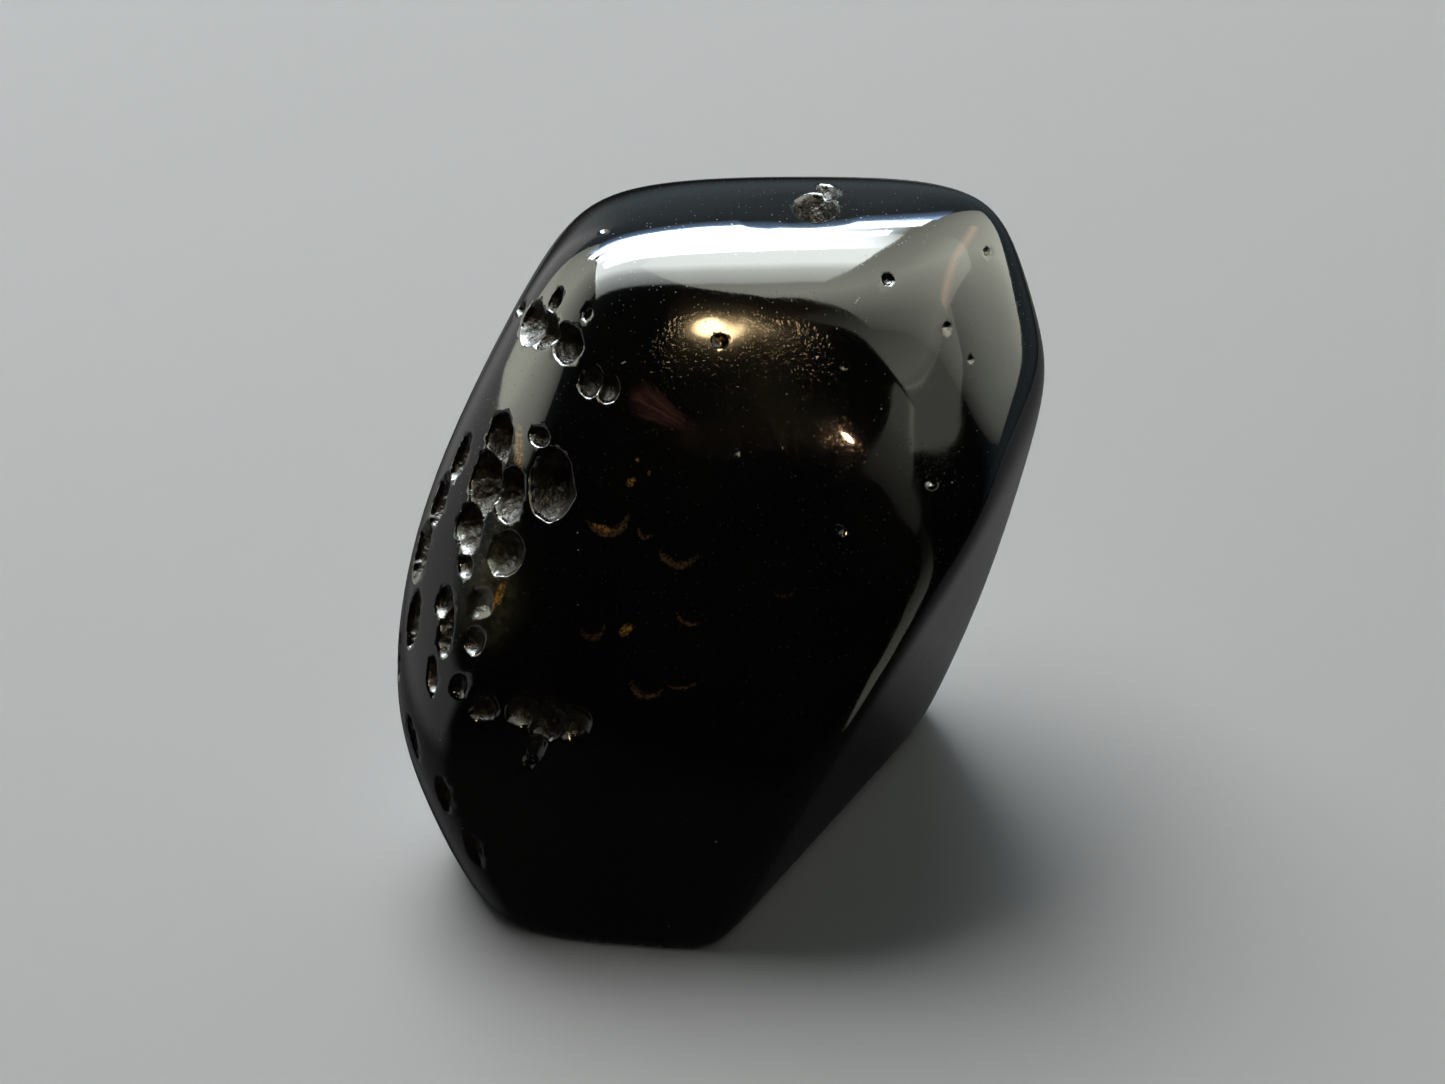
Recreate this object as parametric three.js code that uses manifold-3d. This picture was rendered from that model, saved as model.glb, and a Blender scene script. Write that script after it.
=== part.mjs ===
import * as THREE from 'three';
import { mergeVertices } from 'three/addons/utils/BufferGeometryUtils.js';
import Module from 'manifold-3d';

const wasm = await Module();
wasm.setup();

// A tumbled tektite: one pebble of black natural glass. Tumbling has polished its outside into
// soft-edged faces, and the bubble pits that it did not reach are left open.
// Millimetres. The origin is on the face that the pebble rests on, the front looks along -Y
// and +Z is up.

// The middle of the pebble, from which its faces are measured.
const MIDDLE = new THREE.Vector3(2.5, 1.8, 13.8);

// The tumbled faces, each as [azimuth, rise, reach]. Azimuth turns from the front towards +X and
// rise goes up from level, both in degrees. Reach is the distance from the middle.
const SOFT_FACES = {
  front: [0, 28, 8.4],
  front_high: [2, 54, 12.5],
  front_low: [-6, 8, 10.2],
  front_right: [18, 36, 11.7],
  top: [178, 76, 17.25],
  top_back: [178, 42, 18.6],
  top_left: [-135, 56, 18.25],
  right_back: [98, 15, 18.2],
  left_front: [-54, 34, 12.5],
  left: [-76, 10, 16.3],
  left_high: [-105, 24, 14.4],
  left_low: [-63, -17, 17.9],
  back: [180, -16, 11.4],
  back_right: [127, -10, 13.2],
  back_left: [-122, -14, 12.2],
};
const RIGHT_FACES = {
  right_high: [58, 35, 14.8],
  right_mid: [71, -10, 11.6],
  right_low: [57, -18, 10.15],
};
const UNDER_FACES = {
  under: [0, -90, 14.65],
};

// How crisp the edges are. A higher number makes a tighter edge.
const SOFT_EDGE = 14;
const RIGHT_EDGE = 22;
const UNDER_EDGE = 40;
const JOINING_EDGE = 18;

// The pits that stand out, each as [azimuth, rise, width, length, turn, depth]. The direction is
// seen from the middle. Turn swings the long side from upright towards +X.
const PITS = {
  crater: [146, 66, 2.2, 3.6, 0, 1.6],
  crater_notch: [150, 59, 1, 2.6, -15, 0.9],
  pair_upper: [-102, 54, 2.2, 1.8, 40, 0.8],
  pair_lower: [-96, 57, 1.6, 1.7, -5, 1],
  slot: [-103, 60, 0.8, 1.3, -20, 0.6],
  rim: [-112, 49, 1.6, 0.8, -35, 0.6],
  round_left: [-87, 61, 1.9, 1.7, -5, 1.1],
  nick: [-92, 66, 0.5, 0.6, 5, 0.4],
  lobed: [-71, 62, 1.3, 1.5, -5, 0.6],
  lobed_right: [-65, 64, 1.1, 1.4, 0, 0.6],
  double: [-72, 47, 1.2, 0.9, -20, 0.5],
  big_oval: [-61, 42, 2.3, 3.4, -25, 1.4],
  long_upper: [-82, 39, 1.8, 2.4, -35, 1.1],
  long_middle: [-77, 31, 2, 3.2, -25, 1.1],
  long_lower: [-69, 34, 1.8, 2.7, -25, 1],
  edge_slot: [-88, 28, 1.1, 2.4, -20, 0.5],
  edge_slot_low: [-85, 19, 1.2, 2.8, -25, 0.5],
  edge_hollow: [-81, 10, 1.4, 3, -30, 0.5],
  left_drop: [-73, 22, 1.7, 2.6, -35, 0.8],
  left_hollow: [-61, 24, 1.8, 2.3, 5, 0.8],
  left_pock: [-68, 16, 1.2, 1, 40, 0.4],
  left_bowl: [-60, 13, 1.5, 1.6, 5, 0.3],
  long_groove: [-64, 5, 0.9, 2.8, -25, 0.6],
  short_groove: [-62, -3, 0.7, 2, -30, 0.5],
  side_groove: [-73, 1, 1.1, 3, -30, 0.5],
  side_groove_low: [-63, -15, 1.1, 2.4, -30, 0.4],
  side_bowl: [-51, -5, 1.6, 1.8, 25, 0.5],
  side_pock: [-56, -2, 1, 1.3, 10, 0.3],
  foot_groove: [-55, -22, 0.8, 2.2, -10, 0.4],
  foot_groove_low: [-50, -31, 0.8, 2.1, -20, 0.3],
  ragged_left: [-45, -5, 2, 1.9, -5, 0.6],
  ragged_middle: [-41, -7, 1.9, 2.3, 0, 0.7],
  ragged_right: [-36, -8, 1.7, 1.9, 10, 0.5],
  ragged_foot: [-42, -13, 1, 2.7, 25, 0.3],
  strip_pock: [-68, 8, 1.1, 1.5, -20, 0.4],
  strip_pock_low: [-57, 6, 1.2, 1.4, 10, 0.4],
  side_dent: [-74, -8, 1.2, 2.8, -25, 0.5],
};

// Patches of smaller pits, each as [azimuth, rise, spread, count, size, stretch]. Spread is the
// patch's half width in degrees, size the usual width and stretch the length over the width.
const PATCHES = {
  left_back: [-108, -10, 20, 10, 1.6, 1.8],
  back: [165, -6, 28, 12, 1.9, 1.3],
  back_left: [-128, 26, 15, 7, 1.7, 1.5],
};
// The angle from one pit of a patch to the next, in radians, which spreads them evenly.
const GOLDEN_TURN = 2.4;
// A patch's pits vary about their usual width, lean up to this many degrees either way, and are
// this deep for their width.
const WIDTH_MEAN = 0.8;
const WIDTH_SWING = 0.3;
const LEAN = 20;
const DEPTH_SHARE = 0.4;

// How much of a pit's round tool lies below the glass, as a share of its half height.
const SUNK_SHARE = 0.65;

// How finely the body and the pits are faceted.
const BODY_DETAIL = 11;
const PIT_DETAIL = 1;
// The box that cuts the resting face is larger than the pebble.
const CUT_BOX = 60;
const SLOPE_STEP = 0.001;

const GLASS_COLOUR = 0x0b0b0a;
const GLASS_ROUGHNESS = 0.06;

function direction(azimuth, rise) {
  const a = THREE.MathUtils.degToRad(azimuth);
  const r = THREE.MathUtils.degToRad(rise);
  return new THREE.Vector3(Math.sin(a) * Math.cos(r), -Math.cos(a) * Math.cos(r), Math.sin(r));
}

// Joins several readings into one that follows the largest, rounded where two are close.
function joined(readings, edge) {
  const total = readings.reduce((sum, reading) => sum + Math.max(0, reading) ** edge, 0);
  return total ** (1 / edge);
}

function facesReading(faces, edge, offset) {
  const readings = Object.values(faces).map(
    ([azimuth, rise, reach]) => direction(azimuth, rise).dot(offset) / reach,
  );
  return joined(readings, edge);
}

// 1 on the glass, less inside it and more outside, for an offset from the middle.
function glassReading(offset) {
  const readings = [
    facesReading(SOFT_FACES, SOFT_EDGE, offset),
    facesReading(RIGHT_FACES, RIGHT_EDGE, offset),
    facesReading(UNDER_FACES, UNDER_EDGE, offset),
  ];
  return joined(readings, JOINING_EDGE);
}

function glassPoint(way) {
  return way.clone().divideScalar(glassReading(way)).add(MIDDLE);
}

function glassNormal(way) {
  const slope = ['x', 'y', 'z'].map((axis) => {
    const ahead = way.clone();
    const behind = way.clone();
    ahead[axis] += SLOPE_STEP;
    behind[axis] -= SLOPE_STEP;
    return glassReading(ahead) - glassReading(behind);
  });
  return new THREE.Vector3(...slope).normalize();
}

function closedGeometry(geometry) {
  geometry.deleteAttribute('normal');
  geometry.deleteAttribute('uv');
  return mergeVertices(geometry);
}

function solidFrom(geometry) {
  const closed = closedGeometry(geometry);
  const vertProperties = new Float32Array(closed.attributes.position.array);
  const triVerts = new Uint32Array(closed.index.array);
  return new wasm.Manifold(new wasm.Mesh({ numProp: 3, vertProperties, triVerts }));
}

function geometryFrom(solid) {
  const mesh = solid.getMesh();
  const geometry = new THREE.BufferGeometry();
  geometry.setAttribute('position', new THREE.BufferAttribute(mesh.vertProperties, 3));
  geometry.setIndex(new THREE.BufferAttribute(mesh.triVerts, 1));
  return geometry;
}

function bodySolid() {
  const geometry = closedGeometry(new THREE.IcosahedronGeometry(1, BODY_DETAIL));
  const position = geometry.attributes.position;
  const way = new THREE.Vector3();
  for (let i = 0; i < position.count; i += 1) {
    way.fromBufferAttribute(position, i).normalize();
    const point = glassPoint(way);
    position.setXYZ(i, point.x, point.y, point.z);
  }
  return solidFrom(geometry);
}

// Everything below the resting face.
function underBox() {
  const box = new THREE.BoxGeometry(CUT_BOX, CUT_BOX, CUT_BOX);
  box.translate(0, 0, -CUT_BOX / 2);
  return solidFrom(box);
}

// A rounded tool that leaves one pit, its flat way along the glass.
function pitTool([azimuth, rise, width, length, turn, depth]) {
  const way = direction(azimuth, rise);
  const outward = glassNormal(way);
  const halfHeight = depth / SUNK_SHARE;
  const lift = halfHeight - depth;
  const widening = 1 / Math.sqrt(1 - (lift / halfHeight) ** 2);
  const across = new THREE.Vector3(0, 0, 1).cross(outward).normalize();
  const along = outward.clone().cross(across);
  const place = new THREE.Matrix4().makeBasis(across, along, outward);
  place.setPosition(glassPoint(way).addScaledVector(outward, lift));
  const tool = new THREE.IcosahedronGeometry(1, PIT_DETAIL);
  tool.scale((width / 2) * widening, (length / 2) * widening, halfHeight);
  tool.rotateZ(-THREE.MathUtils.degToRad(turn));
  tool.applyMatrix4(place);
  return solidFrom(tool);
}

// The pits of a patch, wound outwards from its middle with sizes that rise and fall.
function patchPits([azimuth, rise, spread, count, size, stretch]) {
  const pits = [];
  for (let k = 0; k < count; k += 1) {
    const away = spread * Math.sqrt((k + 0.5) / count);
    const angle = k * GOLDEN_TURN;
    const width = size * (WIDTH_MEAN + WIDTH_SWING * Math.sin(5 * k));
    const sideways = (away * Math.cos(angle)) / Math.cos(THREE.MathUtils.degToRad(rise));
    pits.push([
      azimuth + sideways,
      rise + away * Math.sin(angle),
      width,
      width * stretch,
      LEAN * Math.sin(3 * k),
      DEPTH_SHARE * width,
    ]);
  }
  return pits;
}

function tektiteSolid() {
  const pits = [...Object.values(PITS), ...Object.values(PATCHES).flatMap(patchPits)];
  let solid = bodySolid().subtract(underBox());
  pits.forEach((pit) => {
    solid = solid.subtract(pitTool(pit));
  });
  return solid;
}

function glassMaterial() {
  return new THREE.MeshStandardMaterial({
    color: GLASS_COLOUR,
    roughness: GLASS_ROUGHNESS,
    metalness: 0,
  });
}

function tektite() {
  const mesh = new THREE.Mesh(geometryFrom(tektiteSolid()), glassMaterial());
  mesh.name = 'tektite';
  return mesh;
}

const part = new THREE.Group();
part.add(tektite());

export default part;
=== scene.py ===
import math

import bmesh
import bpy
import numpy as np
from mathutils import Matrix, Quaternion, Vector, noise


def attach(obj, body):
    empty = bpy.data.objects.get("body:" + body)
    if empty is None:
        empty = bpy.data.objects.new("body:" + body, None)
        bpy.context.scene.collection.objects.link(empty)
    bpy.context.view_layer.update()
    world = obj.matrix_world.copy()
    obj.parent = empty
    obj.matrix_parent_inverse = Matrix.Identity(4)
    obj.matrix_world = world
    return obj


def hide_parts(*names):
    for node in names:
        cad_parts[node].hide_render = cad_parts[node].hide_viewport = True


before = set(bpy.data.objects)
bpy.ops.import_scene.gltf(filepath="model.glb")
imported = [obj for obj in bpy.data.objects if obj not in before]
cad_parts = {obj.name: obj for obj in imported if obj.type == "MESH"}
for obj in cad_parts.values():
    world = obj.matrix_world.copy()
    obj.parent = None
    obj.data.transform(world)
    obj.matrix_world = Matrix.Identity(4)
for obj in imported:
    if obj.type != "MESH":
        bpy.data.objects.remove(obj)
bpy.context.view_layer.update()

MM = 0.001

# ---------------------------------------------------------------------------------------------
# The tumbled form. Its sizes are the solid's, in mm and degrees.

# The middle of the pebble, from which its faces are measured.
MIDDLE = (2.5, 1.8, 13.8)

# The tumbled faces, each as (azimuth, rise, reach). Azimuth turns from the front towards +X and
# rise goes up from level. Reach is the distance from the middle.
SOFT_FACES = {
    "front": (0, 28, 8.4),
    "front_high": (2, 54, 12.5),
    "front_low": (-6, 8, 10.2),
    "front_right": (18, 36, 11.7),
    "top": (178, 76, 17.25),
    "top_back": (178, 42, 18.6),
    "top_left": (-135, 56, 18.25),
    "right_back": (98, 15, 18.2),
    "left_front": (-54, 34, 12.5),
    "left": (-76, 10, 16.3),
    "left_high": (-105, 24, 14.4),
    "left_low": (-63, -17, 17.9),
    "back": (180, -16, 11.4),
    "back_right": (127, -10, 13.2),
    "back_left": (-122, -14, 12.2),
}
RIGHT_FACES = {
    "right_high": (58, 35, 14.8),
    "right_mid": (71, -10, 11.6),
    "right_low": (57, -18, 10.15),
}
UNDER_FACES = {
    "under": (0, -90, 14.65),
}

# How crisp the edges are, in each group of faces and where the groups join. A higher number
# makes a tighter edge.
FACE_GROUPS = ((SOFT_FACES, 14), (RIGHT_FACES, 22), (UNDER_FACES, 40))
JOINING_EDGE = 18
SLOPE_STEP = 0.001

# The pits that stand out, each as (azimuth, rise, width, length, turn, depth). The direction is
# seen from the middle. Turn swings the long side from upright towards +X.
PITS = {
    "crater": (146, 66, 2.2, 3.6, 0, 1.6),
    "crater_notch": (150, 59, 1, 2.6, -15, 0.9),
    "pair_upper": (-102, 54, 2.2, 1.8, 40, 0.8),
    "pair_lower": (-96, 57, 1.6, 1.7, -5, 1),
    "slot": (-103, 60, 0.8, 1.3, -20, 0.6),
    "rim_highlight": (-112, 49, 1.6, 0.8, -35, 0.6),
    "round_left": (-87, 61, 1.9, 1.7, -5, 1.1),
    "nick": (-92, 66, 0.5, 0.6, 5, 0.4),
    "lobed": (-71, 62, 1.3, 1.5, -5, 0.6),
    "lobed_right": (-65, 64, 1.1, 1.4, 0, 0.6),
    "double": (-72, 47, 1.2, 0.9, -20, 0.5),
    "big_oval": (-61, 42, 2.3, 3.4, -25, 1.4),
    "long_upper": (-82, 39, 1.8, 2.4, -35, 1.1),
    "long_middle": (-77, 31, 2, 3.2, -25, 1.1),
    "long_lower": (-69, 34, 1.8, 2.7, -25, 1),
    "edge_slot": (-88, 28, 1.1, 2.4, -20, 0.5),
    "edge_slot_low": (-85, 19, 1.2, 2.8, -25, 0.5),
    "edge_hollow": (-81, 10, 1.4, 3, -30, 0.5),
    "left_drop": (-73, 22, 1.7, 2.6, -35, 0.8),
    "left_hollow": (-61, 24, 1.8, 2.3, 5, 0.8),
    "left_pock": (-68, 16, 1.2, 1, 40, 0.4),
    "left_bowl": (-60, 13, 1.5, 1.6, 5, 0.3),
    "long_groove": (-64, 5, 0.9, 2.8, -25, 0.6),
    "short_groove": (-62, -3, 0.7, 2, -30, 0.5),
    "side_groove": (-73, 1, 1.1, 3, -30, 0.5),
    "side_groove_low": (-63, -15, 1.1, 2.4, -30, 0.4),
    "side_bowl": (-51, -5, 1.6, 1.8, 25, 0.5),
    "side_pock": (-56, -2, 1, 1.3, 10, 0.3),
    "foot_groove": (-55, -22, 0.8, 2.2, -10, 0.4),
    "foot_groove_low": (-50, -31, 0.8, 2.1, -20, 0.3),
    "ragged_left": (-45, -5, 2, 1.9, -5, 0.6),
    "ragged_middle": (-41, -7, 1.9, 2.3, 0, 0.7),
    "ragged_right": (-36, -8, 1.7, 1.9, 10, 0.5),
    "ragged_foot": (-42, -13, 1, 2.7, 25, 0.3),
    "strip_pock": (-68, 8, 1.1, 1.5, -20, 0.4),
    "strip_pock_low": (-57, 6, 1.2, 1.4, 10, 0.4),
    "side_dent": (-74, -8, 1.2, 2.8, -25, 0.5),
}

# Patches of smaller pits, each as (azimuth, rise, spread, count, size, stretch). Spread is the
# patch's half width in degrees, size the usual width and stretch the length over the width.
PATCHES = {
    "left_back": (-108, -10, 20, 10, 1.6, 1.8),
    "back": (165, -6, 28, 12, 1.9, 1.3),
    "back_left": (-128, 26, 15, 7, 1.7, 1.5),
}
# The angle from one pit of a patch to the next, in radians, which spreads them evenly.
GOLDEN_TURN = 2.4
# A patch's pits vary about their usual width, lean up to this many degrees either way, and are
# this deep for their width.
WIDTH_MEAN = 0.8
WIDTH_SWING = 0.3
LEAN = 20
DEPTH_SHARE = 0.4

# Single bubbles and a shallow dish, too fine for the solid. Each is given as a pit is.
BUBBLES = {
    "crater_dish": (150, 69, 6, 5, 0, 0.1),
    "top_middle": (-16, 84, 0.75, 0.75, 15, 0.05),
    "top_right": (99, 65, 0.6, 0.6, -15, 0.25),
    "top_right_speck": (103, 64, 0.35, 0.35, 35, 0.1),
    "top_left_speck": (-129, 65, 0.5, 0.8, 40, 0.12),
    "front_speck": (7, 67, 0.45, 0.45, 0, 0.1),
    "ridge_speck": (63, 40, 0.5, 0.5, 10, 0.16),
    "front_faint": (42, 41, 0.8, 0.8, 0, 0.08),
    "corner_speck": (111, 49, 0.6, 0.4, 20, 0.14),
    "right_speck": (91, 54, 0.5, 0.35, 20, 0.12),
    "right_speck_low": (88, 48, 0.35, 0.25, 20, 0.1),
    "glow_speck_low": (69, 67, 0.3, 0.25, 5, 0.1),
}

# How a pit's outline wavers and how lumpy its floor is, each as (share, waves, shift), where
# waves is how many fit in the pit's width and shift sets one noise apart from another.
OUTLINE_WAVES = ((0.15, 1.3, 0), (0.1, 3.5, 0.5))
PIT_LUMPS = ((0.2, 2.2, 0.3), (0.12, 6, 0.7))
NOISE_STEPS = (7.3, 3.1, 5.7)
# A pit that is deeper than this share of its width has steep sides, and the others slope.
STEEP_SHARE = 0.35
STEEP_SIDES = 0.9
SLOPING_SIDES = 1.3
# A pit changes only the glass that lies within this height of its middle.
PIT_HEIGHT = 1.5
# The depth at which a pit's dull finish and its painted shade start, and how much deeper
# they are full.
DULL_AND_SHADE_START = 0.1
DULL_AND_SHADE_RANGE = 0.25

# How often the sphere is split, and how often it is then split again round the pits.
SPHERE_LEVEL = 7
PIT_LEVEL = 2


def direction(azimuth, rise):
    a = math.radians(azimuth)
    r = math.radians(rise)
    return np.array((math.sin(a) * math.cos(r), -math.cos(a) * math.cos(r), math.sin(r)))


def joined(readings, edge):
    """Join several readings into one that follows the largest, rounded where two are close."""
    return (np.maximum(readings, 0) ** edge).sum(0) ** (1 / edge)


def faces_reading(faces, edge, offsets):
    rows = [offsets @ (direction(a, r) / reach) for a, r, reach in faces.values()]
    return joined(np.stack(rows), edge)


def glass_reading(offsets):
    """1 on the glass, less inside it and more outside, for offsets from the middle."""
    groups = [faces_reading(faces, edge, offsets) for faces, edge in FACE_GROUPS]
    return joined(np.stack(groups), JOINING_EDGE)


def glass_points(ways):
    return ways / glass_reading(ways)[:, None] + np.array(MIDDLE)


def glass_normals(ways):
    slopes = []
    for step in np.eye(3) * SLOPE_STEP:
        slopes.append(glass_reading(ways + step) - glass_reading(ways - step))
    normals = np.stack(slopes, 1)
    return normals / np.linalg.norm(normals, axis=1)[:, None]


def patch_pits(azimuth, rise, spread, count, size, stretch):
    """The pits of a patch, wound outwards from its middle with sizes that rise and fall."""
    pits = []
    for k in range(count):
        away = spread * math.sqrt((k + 0.5) / count)
        angle = k * GOLDEN_TURN
        width = size * (WIDTH_MEAN + WIDTH_SWING * math.sin(5 * k))
        sideways = away * math.cos(angle) / math.cos(math.radians(rise))
        lean = LEAN * math.sin(3 * k)
        up = rise + away * math.sin(angle)
        pits.append((azimuth + sideways, up, width, width * stretch, lean, DEPTH_SHARE * width))
    return pits


def all_pits():
    pits = list(PITS.values())
    for patch in PATCHES.values():
        pits += patch_pits(*patch)
    return pits + list(BUBBLES.values())


def pit_frame(azimuth, rise, turn):
    """A pit's middle on the glass, and its across, along and outward ways."""
    way = direction(azimuth, rise)[None]
    place = glass_points(way)[0]
    outward = glass_normals(way)[0]
    across = np.cross((0, 0, 1), outward)
    across /= np.linalg.norm(across)
    along = np.cross(outward, across)
    cosine = math.cos(math.radians(-turn))
    sine = math.sin(math.radians(-turn))
    return place, across * cosine + along * sine, along * cosine - across * sine, outward


def fine_noise(points, scale, seed):
    shift = Vector([seed * step for step in NOISE_STEPS])
    return np.array([noise.noise(Vector(point) * scale + shift) for point in points])


def uneven(points, waves, width, seed):
    """A factor near 1 that wavers over a pit."""
    factor = 1
    for share, count, shift in waves:
        factor = factor + share * fine_noise(points, count / width, seed + shift)
    return factor


def pit_depths(points):
    """How deep the pits are at each point of the glass, in mm."""
    depths = np.zeros(len(points))
    for number, (azimuth, rise, width, length, turn, depth) in enumerate(all_pits()):
        place, across, along, outward = pit_frame(azimuth, rise, turn)
        offsets = points - place
        within = np.linalg.norm(offsets, axis=1) < max(width, length)
        level = np.abs(offsets @ outward) < PIT_HEIGHT
        near = np.nonzero(within & level)[0]
        x = offsets[near] @ across / (width / 2)
        y = offsets[near] @ along / (length / 2)
        away = np.minimum(np.hypot(x, y) * uneven(points[near], OUTLINE_WAVES, width, number), 1)
        sides = STEEP_SIDES if depth > STEEP_SHARE * width else SLOPING_SIDES
        bowl = (1 - away ** 2) ** sides
        lumps = uneven(points[near], PIT_LUMPS, width, number)
        depths[near] = np.maximum(depths[near], depth * lumps * bowl)
    return depths


def sphere_ways(bm):
    places = np.array([vert.co for vert in bm.verts])
    return places / np.linalg.norm(places, axis=1)[:, None]


def refine_pits(bm):
    """Split the edges that touch a pit in two."""
    depths = pit_depths(glass_points(sphere_ways(bm)))
    pitted = set(np.nonzero(depths > 0)[0])
    edges = [edge for edge in bm.edges if any(vert.index in pitted for vert in edge.verts)]
    bmesh.ops.subdivide_edges(bm, edges=edges, cuts=1, use_grid_fill=True)
    bmesh.ops.triangulate(bm, faces=bm.faces[:])
    bm.verts.index_update()


def pebble_object():
    """A fine sphere, drawn finer round the pits, and moved out to the glass."""
    bm = bmesh.new()
    bmesh.ops.create_icosphere(bm, subdivisions=SPHERE_LEVEL, radius=1)
    for _ in range(PIT_LEVEL):
        refine_pits(bm)
    ways = sphere_ways(bm)
    points = glass_points(ways)
    depths = pit_depths(points)
    points -= glass_normals(ways) * depths[:, None]
    # Flat where it rests.
    points[:, 2] = np.maximum(points[:, 2], 0)
    pitted = bm.verts.layers.float.new("pit")
    for vert, point, depth in zip(bm.verts, points, depths):
        vert.co = point * MM
        vert[pitted] = min(1, max(0, depth - DULL_AND_SHADE_START) / DULL_AND_SHADE_RANGE)
    bmesh.ops.recalc_face_normals(bm, faces=bm.faces[:])
    mesh = bpy.data.meshes.new("tektite_glass")
    bm.to_mesh(mesh)
    bm.free()
    for polygon in mesh.polygons:
        polygon.use_smooth = True
    piece = bpy.data.objects.new("tektite_glass", mesh)
    bpy.context.collection.objects.link(piece)
    return piece


# ---------------------------------------------------------------------------------------------
# The glass. Its patterns are measured in mm.

# Amber streaks and specks that show in the glass, and three painted glints of light caught inside it
# (the large, small and tiny round ones), each as (azimuth, rise, width, length, turn).
AMBER_GRAINS_AND_GLINTS = {
    "upper_streak": (-75, 42, 0.7, 2.6, -40),
    "lower_streak": (-57, 16, 0.5, 1.8, 5),
    "glint_large": (-42, 53, 0.65, 0.42, -40),
    "glint_small": (-43, 58, 0.32, 0.32, 10),
    "glint_tiny": (-37, 57, 0.22, 0.22, 5),
    "gold_grain": (-30, 16, 0.9, 0.55, -45),
    "gold_rim": (-44, 40, 1.1, 0.35, 20),
    "speck_floor": (-16, 84, 0.6, 0.5, 0),
}
OLIVE_HAZE = (-60, 17, 4.4, 9, -20)
DOME_HAZE = (38, 70, 7, 4.6, 20)
GRAINY_DOME = (0, 78, 15, 9, 0)
SCRATCHES = {
    "scratch_right": (92, 69, 0.08, 0.55, 45),
    "scratch_left": (-68, 69, 0.08, 0.3, 55),
}
# How far into the glass a coloured mark reaches.
MARK_REACH = 1.2
# How much of each mark is its soft edge.
HAZE_SOFTNESS = 0.8
DOME_HAZE_SOFTNESS = 0.9
GRAINY_DOME_SOFTNESS = 0.6
SMALL_MARK_SOFTNESS = 0.5

# The brown feather, as a coloured body. Its measures are shares of its half size, from its
# middle: where it narrows and by how much, where its edge fades, how its lines are drawn out, and
# where its tip fades and to how much.
BROWN_FEATHER = (-42, 69, 3.8, 2.3, 30)
FEATHER_NARROWING = (-1, 1, 0.8, 2.4)
FEATHER_EDGE = (1, 0.5)
FEATHER_DRAWN_OUT = (0.5, 4, 1)
FEATHER_TIP = (-0.2, 1, 1, 0.3)

# Painted highlights: brown crescents on the lower rims of shallow bubbles, where light would catch
# their lower walls. Each is given as (azimuth, rise, width, length, turn, strength).
RIM_HIGHLIGHT_CRESCENTS = {
    "crescent_large": (-44, 43, 2.1, 2, -10, 1),
    "crescent_second": (-32, 44, 0.9, 0.9, 25, 0.8),
    "crescent_third": (-19, 41, 1.9, 1.7, 10, 0.8),
    "crescent_upper": (-13, 22, 1.3, 0.9, 25, 0.8),
    "crescent_left": (-38, 16, 1.3, 1.8, -15, 0.5),
    "crescent_low": (-22, 2, 1.7, 1.6, 15, 0.8),
    "crescent_low_right": (-13, 3, 1.5, 0.9, -5, 0.5),
    "crescent_right": (19, 30, 1.2, 1, 0, 0.25),
}
# A crescent is left where a raised round is taken out of the bubble. How far it is raised, and
# where the bubble's edge and the round's edge fade, all as shares of the bubble's half size.
ROUND_RAISED = (0, 0.45, 0)
BUBBLE_EDGE = (1, 0.8)
ROUND_EDGE = (0.8, 1.2)

# Patterns, each as (waves to a mm, detail, start, end, first, last). Noise from start to end
# comes out as first to last.
SMOKE = (0.22, 3, 0.35, 0.7, 0, 1)
MOTTLE = (1.6, 4, 0.35, 0.7, 0.3, 1)
AMBER_SPECKLE = (7, 3, 0.4, 0.6, 0.1, 1)
# The grains that break up the painted rim highlights.
RIM_HIGHLIGHT_GRAINS = (9, 3, 0.4, 0.62, 0.2, 1)
FEATHER_LINES = (1.2, 3, 0.35, 0.65, 0.25, 1)
POLISH = (0.7, 4, 0.3, 0.75, 0.035, 0.065)
# How patchy the painted shade in the pits is.
PATCHY_SHINE = (1.3, 3, 0.4, 0.65, 1, 0.5)

# How places are shifted to make an edge uneven, each as (waves to a mm, amount in mm). The noise
# that shifts them runs from 0 to 1 about its middle.
NOISE_MIDDLE = (0.5, 0.5, 0.5)
DRIFT_DETAIL = 2
HAZE_DRIFT = (0.5, 1.5)
FEATHER_DRIFT = (1.5, 0.3)
# The shift that makes the painted rim highlights uneven.
RIM_HIGHLIGHT_DRIFT = (3, 0.3)
AMBER_DRIFT = (4, 0.35)

# Specks, each as (cells to a mm, share of the cells left bare, largest size, soft edge). The
# last two are shares of a cell.
DUST = (0.95, 0.3, 0.055, 0.02)
FLECKS = (6, 0.5, 0.3, 0.1)

# Colours, as red, green, blue and opacity.
BLACK = (0.0018, 0.0018, 0.0017, 1)
SMOKY_BLACK = (0.0042, 0.0037, 0.0024, 1)
DOME_BROWN = (0.014, 0.013, 0.007, 1)
PIT_BROWN = (0.03, 0.022, 0.012, 1)
OLIVE = (0.055, 0.048, 0.022, 1)
FEATHER_BROWN = (0.13, 0.05, 0.035, 1)
# The painted highlight on the lower rims of shallow bubbles.
PAINTED_RIM_HIGHLIGHT = (0.16, 0.085, 0.035, 1)
# The amber of the streaks and specks, and of the painted glints.
AMBER_AND_GLINT = (0.42, 0.2, 0.035, 1)
DUST_GREY = (0.3, 0.3, 0.28, 1)
FULL_SHINE = (1, 1, 1, 1)
# Reflections in the pits are dimmed to this: painted shade in the hollows.
SHADED_PIT_SHINE = (0.1, 0.1, 0.09, 1)

# How much rougher than the polish each finish is.
PIT_ROUGHNESS = 0.32
HAZE_ROUGHNESS = 0.1
DUST_ROUGHNESS = 0.4
FLECK_ROUGHNESS = 0.25

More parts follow.
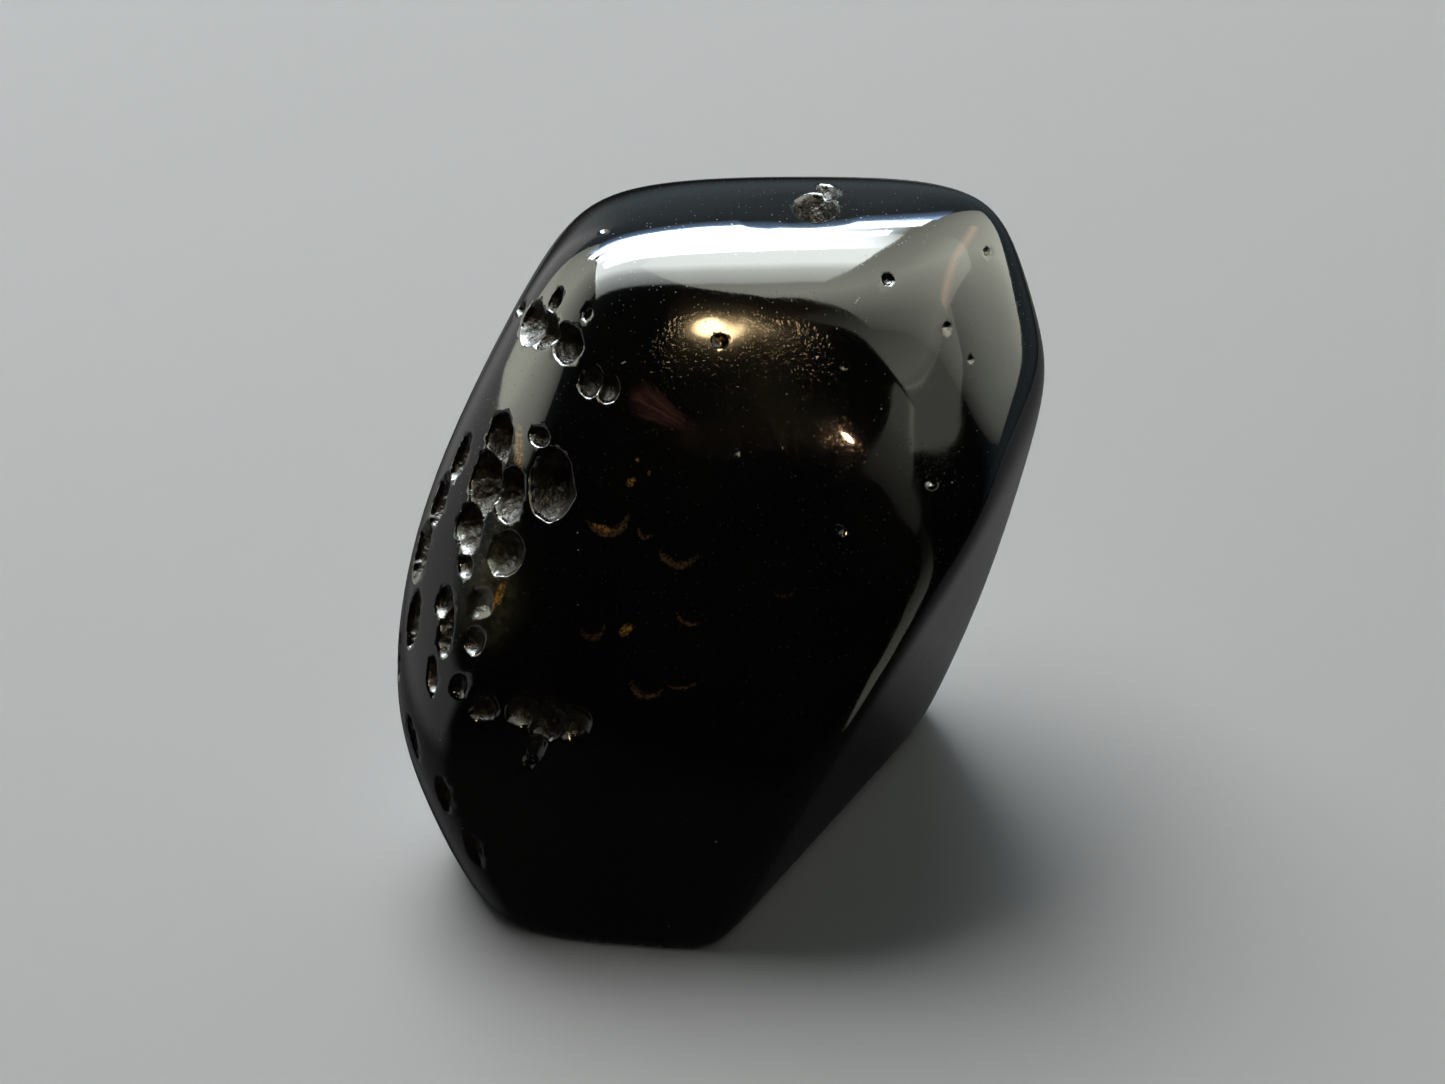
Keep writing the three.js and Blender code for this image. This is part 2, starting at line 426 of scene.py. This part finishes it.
# A thin second shine over the polish, which the pits lack.
SECOND_SHINE = 0.15
SECOND_ROUGHNESS = 0.06
# How grainy it is away from the grainy dome.
PLAIN_GRAIN = 0.1
REFRACTIVE_INDEX = 1.5

# Relief, each as (waves to a mm, detail, height in metres).
PIT_GRIT = (4, 4, 0.00012)
POLISH_WAVES = (0.3, 1, 0.00003)
DOME_GRAINS = (5, 1, 0.00004)
# How gritty the olive haze is beside a pit's floor.
HAZE_GRIT = 0.12


def add_node(tree, kind, inputs, **settings):
    """Add a shader node. An input is either another node's socket or a plain value."""
    node = tree.nodes.new("ShaderNode" + kind)
    for name, value in settings.items():
        setattr(node, name, value)
    for name, value in inputs.items():
        if isinstance(value, bpy.types.NodeSocket):
            tree.links.new(value, node.inputs[name])
        else:
            node.inputs[name].default_value = value
    return node


def combine(tree, operation, first, second):
    return add_node(tree, "Math", {0: first, 1: second}, operation=operation).outputs[0]


def distance(tree, place, middle=(0, 0, 0)):
    inputs = {0: place, 1: middle}
    return add_node(tree, "VectorMath", inputs, operation="DISTANCE").outputs["Value"]


def noise_at(tree, place, scale, detail):
    return add_node(tree, "TexNoise", {"Vector": place, "Scale": scale, "Detail": detail}).outputs[0]


def faded(tree, value, start, end, first=0, last=1):
    """Turn a value that runs from start to end into one that runs from first to last."""
    inputs = {"Value": value, "From Min": start, "From Max": end, "To Min": first, "To Max": last}
    return add_node(tree, "MapRange", inputs, interpolation_type="SMOOTHSTEP").outputs[0]


def pattern(tree, place, scale, detail, start, end, first, last):
    return faded(tree, noise_at(tree, place, scale, detail), start, end, first, last)


def mixed(tree, share, first, second):
    """Mix two colours, from the first at a share of 0 to the second at 1."""
    node = add_node(tree, "Mix", {"Factor": share}, data_type="RGBA")
    for name, value in (("A", first), ("B", second)):
        target = [socket for socket in node.inputs if socket.name == name and socket.type == "RGBA"][0]
        if isinstance(value, bpy.types.NodeSocket):
            tree.links.new(value, target)
        else:
            target.default_value = value
    return [socket for socket in node.outputs if socket.type == "RGBA"][0]


def mark_place(tree, place, azimuth, rise, width, length, turn):
    """Places measured from a mark's middle along its own ways, where 1 is its edge."""
    middle, across, along, outward = pit_frame(azimuth, rise, turn)
    ways = Matrix((across, along, outward)).transposed()
    inputs = {
        "Vector": place,
        "Location": middle,
        "Rotation": ways.to_euler(),
        "Scale": (width / 2, length / 2, MARK_REACH),
    }
    return add_node(tree, "Mapping", inputs, vector_type="TEXTURE").outputs[0]


def mark_share(tree, place, size, softness):
    """1 in the middle of a coloured mark and 0 outside it."""
    return faded(tree, distance(tree, mark_place(tree, place, *size)), 1, 1 - softness)


def drifted(tree, place, scale, amount):
    """Places shifted by noise, so that edges drawn with them come out uneven."""
    shift = add_node(tree, "TexNoise", {"Vector": place, "Scale": scale, "Detail": DRIFT_DETAIL})
    inputs = {0: shift.outputs["Color"], 1: NOISE_MIDDLE}
    centred = add_node(tree, "VectorMath", inputs, operation="SUBTRACT").outputs[0]
    inputs = {0: centred, "Scale": amount}
    scaled = add_node(tree, "VectorMath", inputs, operation="SCALE").outputs[0]
    return add_node(tree, "VectorMath", {0: place, 1: scaled}).outputs[0]


def feather_share(tree, place):
    """A fan of brown lines that narrows and fades towards the lower right."""
    fan = mark_place(tree, drifted(tree, place, *FEATHER_DRIFT), *BROWN_FEATHER)
    split = add_node(tree, "SeparateXYZ", {0: fan})
    narrowing = faded(tree, split.outputs[0], *FEATHER_NARROWING)
    side = combine(tree, "MULTIPLY", split.outputs[1], narrowing)
    inputs = {0: split.outputs[0], 1: side, 2: split.outputs[2]}
    tapered = add_node(tree, "CombineXYZ", inputs).outputs[0]
    share = faded(tree, distance(tree, tapered), *FEATHER_EDGE)
    inputs = {"Vector": tapered, "Scale": FEATHER_DRAWN_OUT}
    drawn_out = add_node(tree, "Mapping", inputs).outputs[0]
    lines = pattern(tree, drawn_out, *FEATHER_LINES)
    fading = faded(tree, split.outputs[0], *FEATHER_TIP)
    return combine(tree, "MULTIPLY", combine(tree, "MULTIPLY", share, lines), fading)


def rim_highlight_share(tree, place):
    """Painted brown highlights on the lower rims of shallow bubbles, broken up into grains."""
    uneven_place = drifted(tree, place, *RIM_HIGHLIGHT_DRIFT)
    total = 0
    for *size, strength in RIM_HIGHLIGHT_CRESCENTS.values():
        bubble = mark_place(tree, uneven_place, *size)
        inside = faded(tree, distance(tree, bubble), *BUBBLE_EDGE)
        below = faded(tree, distance(tree, bubble, ROUND_RAISED), *ROUND_EDGE)
        rim_highlight = combine(tree, "MULTIPLY", inside, below)
        total = combine(tree, "MAXIMUM", total, combine(tree, "MULTIPLY", rim_highlight, strength))
    return combine(tree, "MULTIPLY", total, pattern(tree, place, *RIM_HIGHLIGHT_GRAINS))


def speck_share(tree, place, scale, bare, largest, soft):
    """Round specks, at most one to a cell."""
    cells = add_node(tree, "TexVoronoi", {"Vector": place, "Scale": scale})
    split = add_node(tree, "SeparateColor", {0: cells.outputs["Color"]})
    size = faded(tree, split.outputs[0], bare, 1, 0, largest)
    return faded(tree, combine(tree, "SUBTRACT", size, cells.outputs["Distance"]), 0, soft)


def dust_share(tree, place):
    """Sparse pale specks of dust on the polish, and two short scratches."""
    dust = speck_share(tree, place, *DUST)
    for size in SCRATCHES.values():
        dust = combine(tree, "MAXIMUM", dust, mark_share(tree, place, size, SMALL_MARK_SOFTNESS))
    return dust


def glass_colour(tree, place, pit, haze, dust):
    """Near-black glass: olive haze, brown pits, amber grains, painted glints and rim highlights, a
    feather.
    """
    colour = mixed(tree, pattern(tree, place, *SMOKE), BLACK, SMOKY_BLACK)
    mottle = pattern(tree, place, *MOTTLE)
    dome = mark_share(tree, drifted(tree, place, *HAZE_DRIFT), DOME_HAZE, DOME_HAZE_SOFTNESS)
    for share, tone in ((dome, DOME_BROWN), (pit, PIT_BROWN), (haze, OLIVE)):
        colour = mixed(tree, combine(tree, "MULTIPLY", share, mottle), colour, tone)
    colour = mixed(tree, feather_share(tree, place), colour, FEATHER_BROWN)
    # Painted highlights on the lower rims of shallow bubbles.
    colour = mixed(tree, rim_highlight_share(tree, place), colour, PAINTED_RIM_HIGHLIGHT)
    # Amber streaks and specks in the glass, and painted glints of light caught inside it.
    ragged = drifted(tree, place, *AMBER_DRIFT)
    speckle = pattern(tree, place, *AMBER_SPECKLE)
    for size in AMBER_GRAINS_AND_GLINTS.values():
        grain_or_glint = mark_share(tree, ragged, size, SMALL_MARK_SOFTNESS)
        colour = mixed(tree, combine(tree, "MULTIPLY", grain_or_glint, speckle), colour, AMBER_AND_GLINT)
    return mixed(tree, dust, colour, DUST_GREY)


def glass_roughness(tree, place, pit, haze, dust):
    """An uneven polish, with flecks that glint near a light and duller pits, haze and dust."""
    rough = pattern(tree, place, *POLISH)
    finishes = (
        (pit, PIT_ROUGHNESS),
        (haze, HAZE_ROUGHNESS),
        (dust, DUST_ROUGHNESS),
        (speck_share(tree, place, *FLECKS), FLECK_ROUGHNESS),
    )
    for share, roughness in finishes:
        rough = combine(tree, "ADD", rough, combine(tree, "MULTIPLY", share, roughness))
    return rough


def add_relief(tree, place, scale, detail, height, strength, under=None):
    """Relief from noise, which may lie on another relief."""
    waves = noise_at(tree, place, scale, detail)
    inputs = {"Strength": strength, "Distance": height, "Height": waves}
    if under is not None:
        inputs["Normal"] = under
    return add_node(tree, "Bump", inputs).outputs[0]


def black_glass():
    material = bpy.data.materials.new("black_tektite_glass")
    material.use_nodes = True
    tree = material.node_tree
    shader = tree.nodes["Principled BSDF"]
    metres = add_node(tree, "TexCoord", {}).outputs["Object"]
    place = add_node(tree, "VectorMath", {0: metres, "Scale": 1 / MM}, operation="SCALE").outputs[0]
    pit = add_node(tree, "Attribute", {}, attribute_name="pit").outputs["Fac"]
    drifting = drifted(tree, place, *HAZE_DRIFT)
    haze = mark_share(tree, drifting, OLIVE_HAZE, HAZE_SOFTNESS)
    dust = dust_share(tree, place)

    # Reflections dimmed patchily in the pits: painted shade in the hollows.
    pit_shade = combine(tree, "MULTIPLY", pit, pattern(tree, place, *PATCHY_SHINE))
    gritty = combine(tree, "ADD", pit, combine(tree, "MULTIPLY", haze, HAZE_GRIT))
    grit = add_relief(tree, place, *PIT_GRIT, gritty)
    dome = mark_share(tree, drifting, GRAINY_DOME, GRAINY_DOME_SOFTNESS)
    grainy = faded(tree, dome, 0, 1, PLAIN_GRAIN, 1)
    finishes = {
        "Base Color": glass_colour(tree, place, pit, haze, dust),
        "Roughness": glass_roughness(tree, place, pit, haze, dust),
        # The pits reflect less here: painted shade.
        "Specular Tint": mixed(tree, pit_shade, FULL_SHINE, SHADED_PIT_SHINE),
        "Coat Weight": faded(tree, pit, 0, 1, SECOND_SHINE, 0),
        "Normal": add_relief(tree, place, *POLISH_WAVES, 1, grit),
        "Coat Normal": add_relief(tree, place, *DOME_GRAINS, grainy),
    }
    for name, socket in finishes.items():
        tree.links.new(socket, shader.inputs[name])
    shader.inputs["IOR"].default_value = REFRACTIVE_INDEX
    shader.inputs["Coat Roughness"].default_value = SECOND_ROUGHNESS
    return material


# ---------------------------------------------------------------------------------------------
# The studio. Its sizes are in metres.

CAMERA_RISE = 40
CAMERA_AWAY = 0.2
CAMERA_NEAREST = 0.01
SENSOR_WIDTH = 36
FOCAL_PIXELS = 4273
VIEW_PIXELS = 1445
# Where the pebble's middle stands in the view: right of its middle, and below it.
MIDDLE_RIGHT = 0.00026
MIDDLE_DOWN = 0.00084

FLOOR_SIZE = 4
FLOOR_GREY = (0.5, 0.5, 0.49, 1)
FLOOR_ROUGHNESS = 0.8
FLOOR_SPECULAR = 0.1

# The room round the pebble, with its colours as red, green, blue and opacity.
FRONT_WALL = (0.008, 0.008, 0.008, 1)
BACK_WALL = (0.12, 0.15, 0.165, 1)
FRONT_BENCH = (0.02, 0.02, 0.02, 1)
BACK_BENCH = (0.01, 0.01, 0.01, 1)
LEFT_BENCH = (0.45, 0.46, 0.45, 1)
LEFT_BENCH_NEAR = (0.12, 0.12, 0.12, 1)
# Where each part of the room starts and where it is full, as how far a way of length 1 goes
# backwards, to the right or upwards.
BACK_STARTS = (-0.3, 0.3)
LEFT_STARTS = (-0.4, -0.7)
LEFT_BENCH_DARKENS = (-0.28, -0.5)
WALL_STARTS = (-0.4, -0.16)
LEFT_WALL_STARTS = (0.02, 0.1)
# How much the left part turns towards the back.
LEFT_LEAN = 0.35

WHITE = (1, 1, 1)
# The room's walls and bench are a slightly green grey.
ROOM_GREY = (0.98, 1, 0.84)

# The overhead tubes, each as (rise behind, reach to the left, reach to the right).
TUBES = ((36, 0.36, 0.14), (49, 0.35, 0.08), (62, 0.33, 0.04))
TUBE_AZIMUTH = 180
TUBE_AWAY = 0.45
TUBE_HEIGHT = 0.06
TUBE_BRIGHTNESS = 34
TUBE_COLOUR = (0.86, 0.94, 1)

# Soft lights that face the pebble, each as (azimuth, rise, away, width, height, brightness,
# colour, roll, shift towards +X), where the last two may be left out. Brightness is what a
# mirror would show.
SOFTBOXES = {
    "tube_fitting": (180, 49, 0.46, 0.46, 0.33, 18, (0.84, 0.94, 1), 0, -0.1),
    "tube_fringe": (180, 26.5, 0.46, 0.48, 0.09, 9, (0.4, 0.62, 1), 0, -0.08),
    "ceiling": (-120, 69, 0.5, 0.756, 0.54, 14, (0.94, 1, 0.98), 18),
    "tinted_edge": (112, 28.5, 0.5, 0.38, 0.07, 2.2, (1, 0.5, 0.3), -12),
    "right_box": (115, 49, 0.5, 0.76, 1.07, 4.2, ROOM_GREY, 14),
    "right_front_box": (79, 50, 0.5, 0.74, 0.316, 1.5, ROOM_GREY, -21),
    "right_low_box": (44.4, 33, 0.5, 0.9, 0.071, 0.85, ROOM_GREY, -1.2),
    "right_low_tip": (17.6, 28.7, 0.5, 0.19, 0.037, 0.75, ROOM_GREY, 43),
    "ridge_light": (35, -10, 0.5, 0.055, 0.84, 0.62, ROOM_GREY, 36),
    "left_box": (-120, 19, 0.5, 0.53, 0.336, 3.5, ROOM_GREY, 27),
}
OVAL_LIGHTS = ("ridge_light",)
# How each dims from edge to edge: along its own X or Y, by (place, share) stops. A slant leans
# the fade over.
FADES = {
    "tube_fitting": ("X", ((0, 0), (0.1, 0.3), (0.25, 1), (0.45, 1), (0.8, 0.4), (1, 0))),
    "tube_fringe": ("Y", ((0, 0.02), (0.5, 0.2), (1, 1))),
    "ceiling": ("X", ((0, 0.2), (0.3, 1), (0.48, 1), (0.56, 0.46), (0.67, 0.2), (0.69, 0), (1, 0))),
    "tinted_edge": ("Y", ((0, 0), (0.5, 1), (1, 0))),
    "right_box": ("X", ((0, 0.04), (0.15, 0.29), (0.4, 1), (1, 0.26))),
    "right_front_box": ("Y", ((0, 0.75), (0.09, 1), (1, 0.05))),
    "right_low_box": ("X", ((0, 0), (0.315, 0), (0.33, 1), (1, 1)), 0.13),
    "right_low_tip": ("X", ((0, 0.15), (0.6, 0.9), (1, 1))),
    "ridge_light": ("Y", ((0, 0.4), (0.25, 1), (0.5, 0.9), (0.75, 0.35), (0.85, 0.1), (1, 0))),
    "left_box": ("X", ((0, 0.32), (0.11, 0.41), (0.59, 1), (1, 0.18))),
}

# The lit bench behind the pebble on the right, as (width, length, brightness, colour).
BENCH_SHEEN = (0.09, 0.07, 0.13, WHITE)
BENCH_SHEEN_PLACE = (0.031, 0.031, 0.0002)
BENCH_SHEEN_TURN = 135
BENCH_SHEEN_FADE = ((0, 0), (0.03, 0.05), (0.12, 0.67), (1, 1))

# The light that falls on the floor, and the warm lamp with its small second reflection. Each is
# given as a soft light is.
FLOOR_LIGHT = (-150, 60, 0.6, 0.4, 0.4, 6, WHITE)
WARM_LAMP = (2, 56, 0.4, 0.11, 0.34, 60, (1, 0.72, 0.38))
WARM_LAMP_FADE = ((0, 1), (0.17, 1), (0.26, 0.08), (0.4, 0.01), (0.6, 0.002), (1, 0))
WARM_LAMP_LOW = (7.5, 26, 0.4, 0.004, 0.005, 360, (1, 0.7, 0.4))

# The middle of a light's surface, whose X and Y run from 0 to 1.
LAMP_MIDDLE = (0.5, 0.5, 0)


def add_camera():
    data = bpy.data.cameras.new("camera")
    data.sensor_width = SENSOR_WIDTH
    data.lens = FOCAL_PIXELS / VIEW_PIXELS * data.sensor_width
    data.clip_start = CAMERA_NEAREST
    camera = bpy.data.objects.new("camera", data)
    back = Vector(direction(0, CAMERA_RISE))
    right = Vector((1, 0, 0))
    up = back.cross(right)
    aim = Vector(MIDDLE) * MM - right * MIDDLE_RIGHT + up * MIDDLE_DOWN
    camera.location = aim + back * CAMERA_AWAY
    camera.rotation_euler = (math.radians(90 - CAMERA_RISE), 0, 0)
    bpy.context.collection.objects.link(camera)
    bpy.context.scene.camera = camera


def pale_floor():
    material = bpy.data.materials.new("pale_floor")
    material.use_nodes = True
    shader = material.node_tree.nodes["Principled BSDF"]
    shader.inputs["Base Color"].default_value = FLOOR_GREY
    shader.inputs["Roughness"].default_value = FLOOR_ROUGHNESS
    shader.inputs["Specular IOR Level"].default_value = FLOOR_SPECULAR
    return material


def add_floor():
    """A plain floor that the polish doesn't show."""
    bpy.ops.mesh.primitive_plane_add(size=FLOOR_SIZE)
    floor = bpy.context.object
    floor.name = "floor"
    floor.data.materials.append(pale_floor())
    floor.visible_glossy = False


def room_light():
    """A dim room whose back wall is grey, over a bench that is paler and higher on the left."""
    world = bpy.data.worlds.new("room")
    world.use_nodes = True
    tree = world.node_tree
    way = add_node(tree, "TexCoord", {}).outputs["Generated"]
    side, depth, height = add_node(tree, "SeparateXYZ", {0: way}).outputs
    leaning = combine(tree, "SUBTRACT", side, combine(tree, "MULTIPLY", depth, LEFT_LEAN))
    left = faded(tree, leaning, *LEFT_STARTS)
    back = faded(tree, depth, *BACK_STARTS)
    near = faded(tree, height, *LEFT_BENCH_DARKENS)
    left_bench = mixed(tree, near, LEFT_BENCH, LEFT_BENCH_NEAR)
    bench = mixed(tree, left, mixed(tree, back, FRONT_BENCH, BACK_BENCH), left_bench)
    walls = mixed(tree, back, FRONT_WALL, BACK_WALL)
    above = faded(tree, height, *WALL_STARTS)
    above_left = faded(tree, left, 0, 1, 1, faded(tree, height, *LEFT_WALL_STARTS))
    room = mixed(tree, combine(tree, "MINIMUM", above, above_left), bench, walls)
    tree.links.new(room, tree.nodes["Background"].inputs["Color"])
    bpy.context.scene.world = world


def add_panel(name, width, height, brightness, colour):
    """A soft light that the polish shows and the floor doesn't take."""
    data = bpy.data.lights.new(name, "AREA")
    data.shape = "ELLIPSE" if name in OVAL_LIGHTS else "RECTANGLE"
    data.size = width
    data.size_y = height
    data.energy = brightness * math.pi * width * height
    data.color = colour
    lamp = bpy.data.objects.new(name, data)
    lamp.visible_camera = False
    lamp.visible_diffuse = False
    bpy.context.collection.objects.link(lamp)
    return lamp


def add_softbox(name, azimuth, rise, away, width, height, brightness, colour, roll=0, shift=0):
    """A panel that faces the pebble."""
    lamp = add_panel(name, width, height, brightness, colour)
    toward = Vector(direction(azimuth, rise))
    lamp.location = Vector(MIDDLE) * MM + toward * away
    lamp.location.x += shift
    facing = toward.to_track_quat("Z", "Y")
    lamp.rotation_euler = (facing @ Quaternion((0, 0, 1), math.radians(roll))).to_euler()
    return lamp


def lamp_places(lamp):
    """The places on a light's own surface, from 0 to 1 along its X and its Y."""
    lamp.data.use_nodes = True
    return add_node(lamp.data.node_tree, "NewGeometry", {}).outputs["Parametric"]


def fade_by(lamp, stops, measure):
    """Dim a light by (place, share) stops, where a measure of its surface gives the place."""
    tree = lamp.data.node_tree
    ramp = add_node(tree, "ValToRGB", {0: measure})
    points = ramp.color_ramp.elements
    points[0].position = stops[0][0]
    points[1].position = stops[-1][0]
    for place, _ in stops[1:-1]:
        points.new(place)
    for point, (_, share) in zip(points, stops):
        point.color = (share, share, share, 1)
    tree.links.new(ramp.outputs[0], tree.nodes["Emission"].inputs["Strength"])


def fade_along(lamp, way, stops, slant=0):
    """Dim a light from edge to edge along its X or Y."""
    places = lamp_places(lamp)
    tree = lamp.data.node_tree
    split = add_node(tree, "SeparateXYZ", {0: places})
    from_middle = combine(tree, "SUBTRACT", split.outputs["Y"], LAMP_MIDDLE[1])
    lean = combine(tree, "MULTIPLY", from_middle, slant)
    fade_by(lamp, stops, combine(tree, "SUBTRACT", split.outputs[way], lean))


def fade_outward(lamp, stops):
    """Dim a light from its middle out to its edges."""
    places = lamp_places(lamp)
    tree = lamp.data.node_tree
    inputs = {0: places, 1: (1, 1, 0)}
    flat = add_node(tree, "VectorMath", inputs, operation="MULTIPLY").outputs[0]
    # Twice the distance from the middle is 1 at an edge.
    fade_by(lamp, stops, combine(tree, "MULTIPLY", distance(tree, flat, LAMP_MIDDLE), 2))


def add_tubes():
    """Three cool overhead tubes behind the pebble."""
    for number, (rise, left, right) in enumerate(TUBES):
        add_softbox("overhead_tube_%d" % number, TUBE_AZIMUTH, rise, TUBE_AWAY, left + right,
                    TUBE_HEIGHT, TUBE_BRIGHTNESS, TUBE_COLOUR, shift=(right - left) / 2)


def add_bench_sheen():
    """The lit bench, as a light that lies on the floor and shows upwards."""
    sheen = add_panel("bench_sheen", *BENCH_SHEEN)
    sheen.location = BENCH_SHEEN_PLACE
    sheen.rotation_euler = (math.pi, 0, math.radians(BENCH_SHEEN_TURN))
    fade_along(sheen, "Y", BENCH_SHEEN_FADE)


def add_floor_light():
    """A light that falls on the floor, and that the polish doesn't show."""
    lamp = add_softbox("floor_light", *FLOOR_LIGHT)
    lamp.visible_diffuse = True
    lamp.visible_glossy = False


def add_studio():
    bpy.context.scene.view_settings.view_transform = "Standard"
    add_floor()
    room_light()
    add_tubes()
    for name, size in SOFTBOXES.items():
        fade_along(add_softbox(name, *size), *FADES[name])
    add_bench_sheen()
    add_floor_light()
    fade_outward(add_softbox("warm_lamp", *WARM_LAMP), WARM_LAMP_FADE)
    add_softbox("warm_lamp_low", *WARM_LAMP_LOW)


piece = pebble_object()
piece.data.materials.append(black_glass())
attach(piece, "root")
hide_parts("tektite")
add_camera()
add_studio()
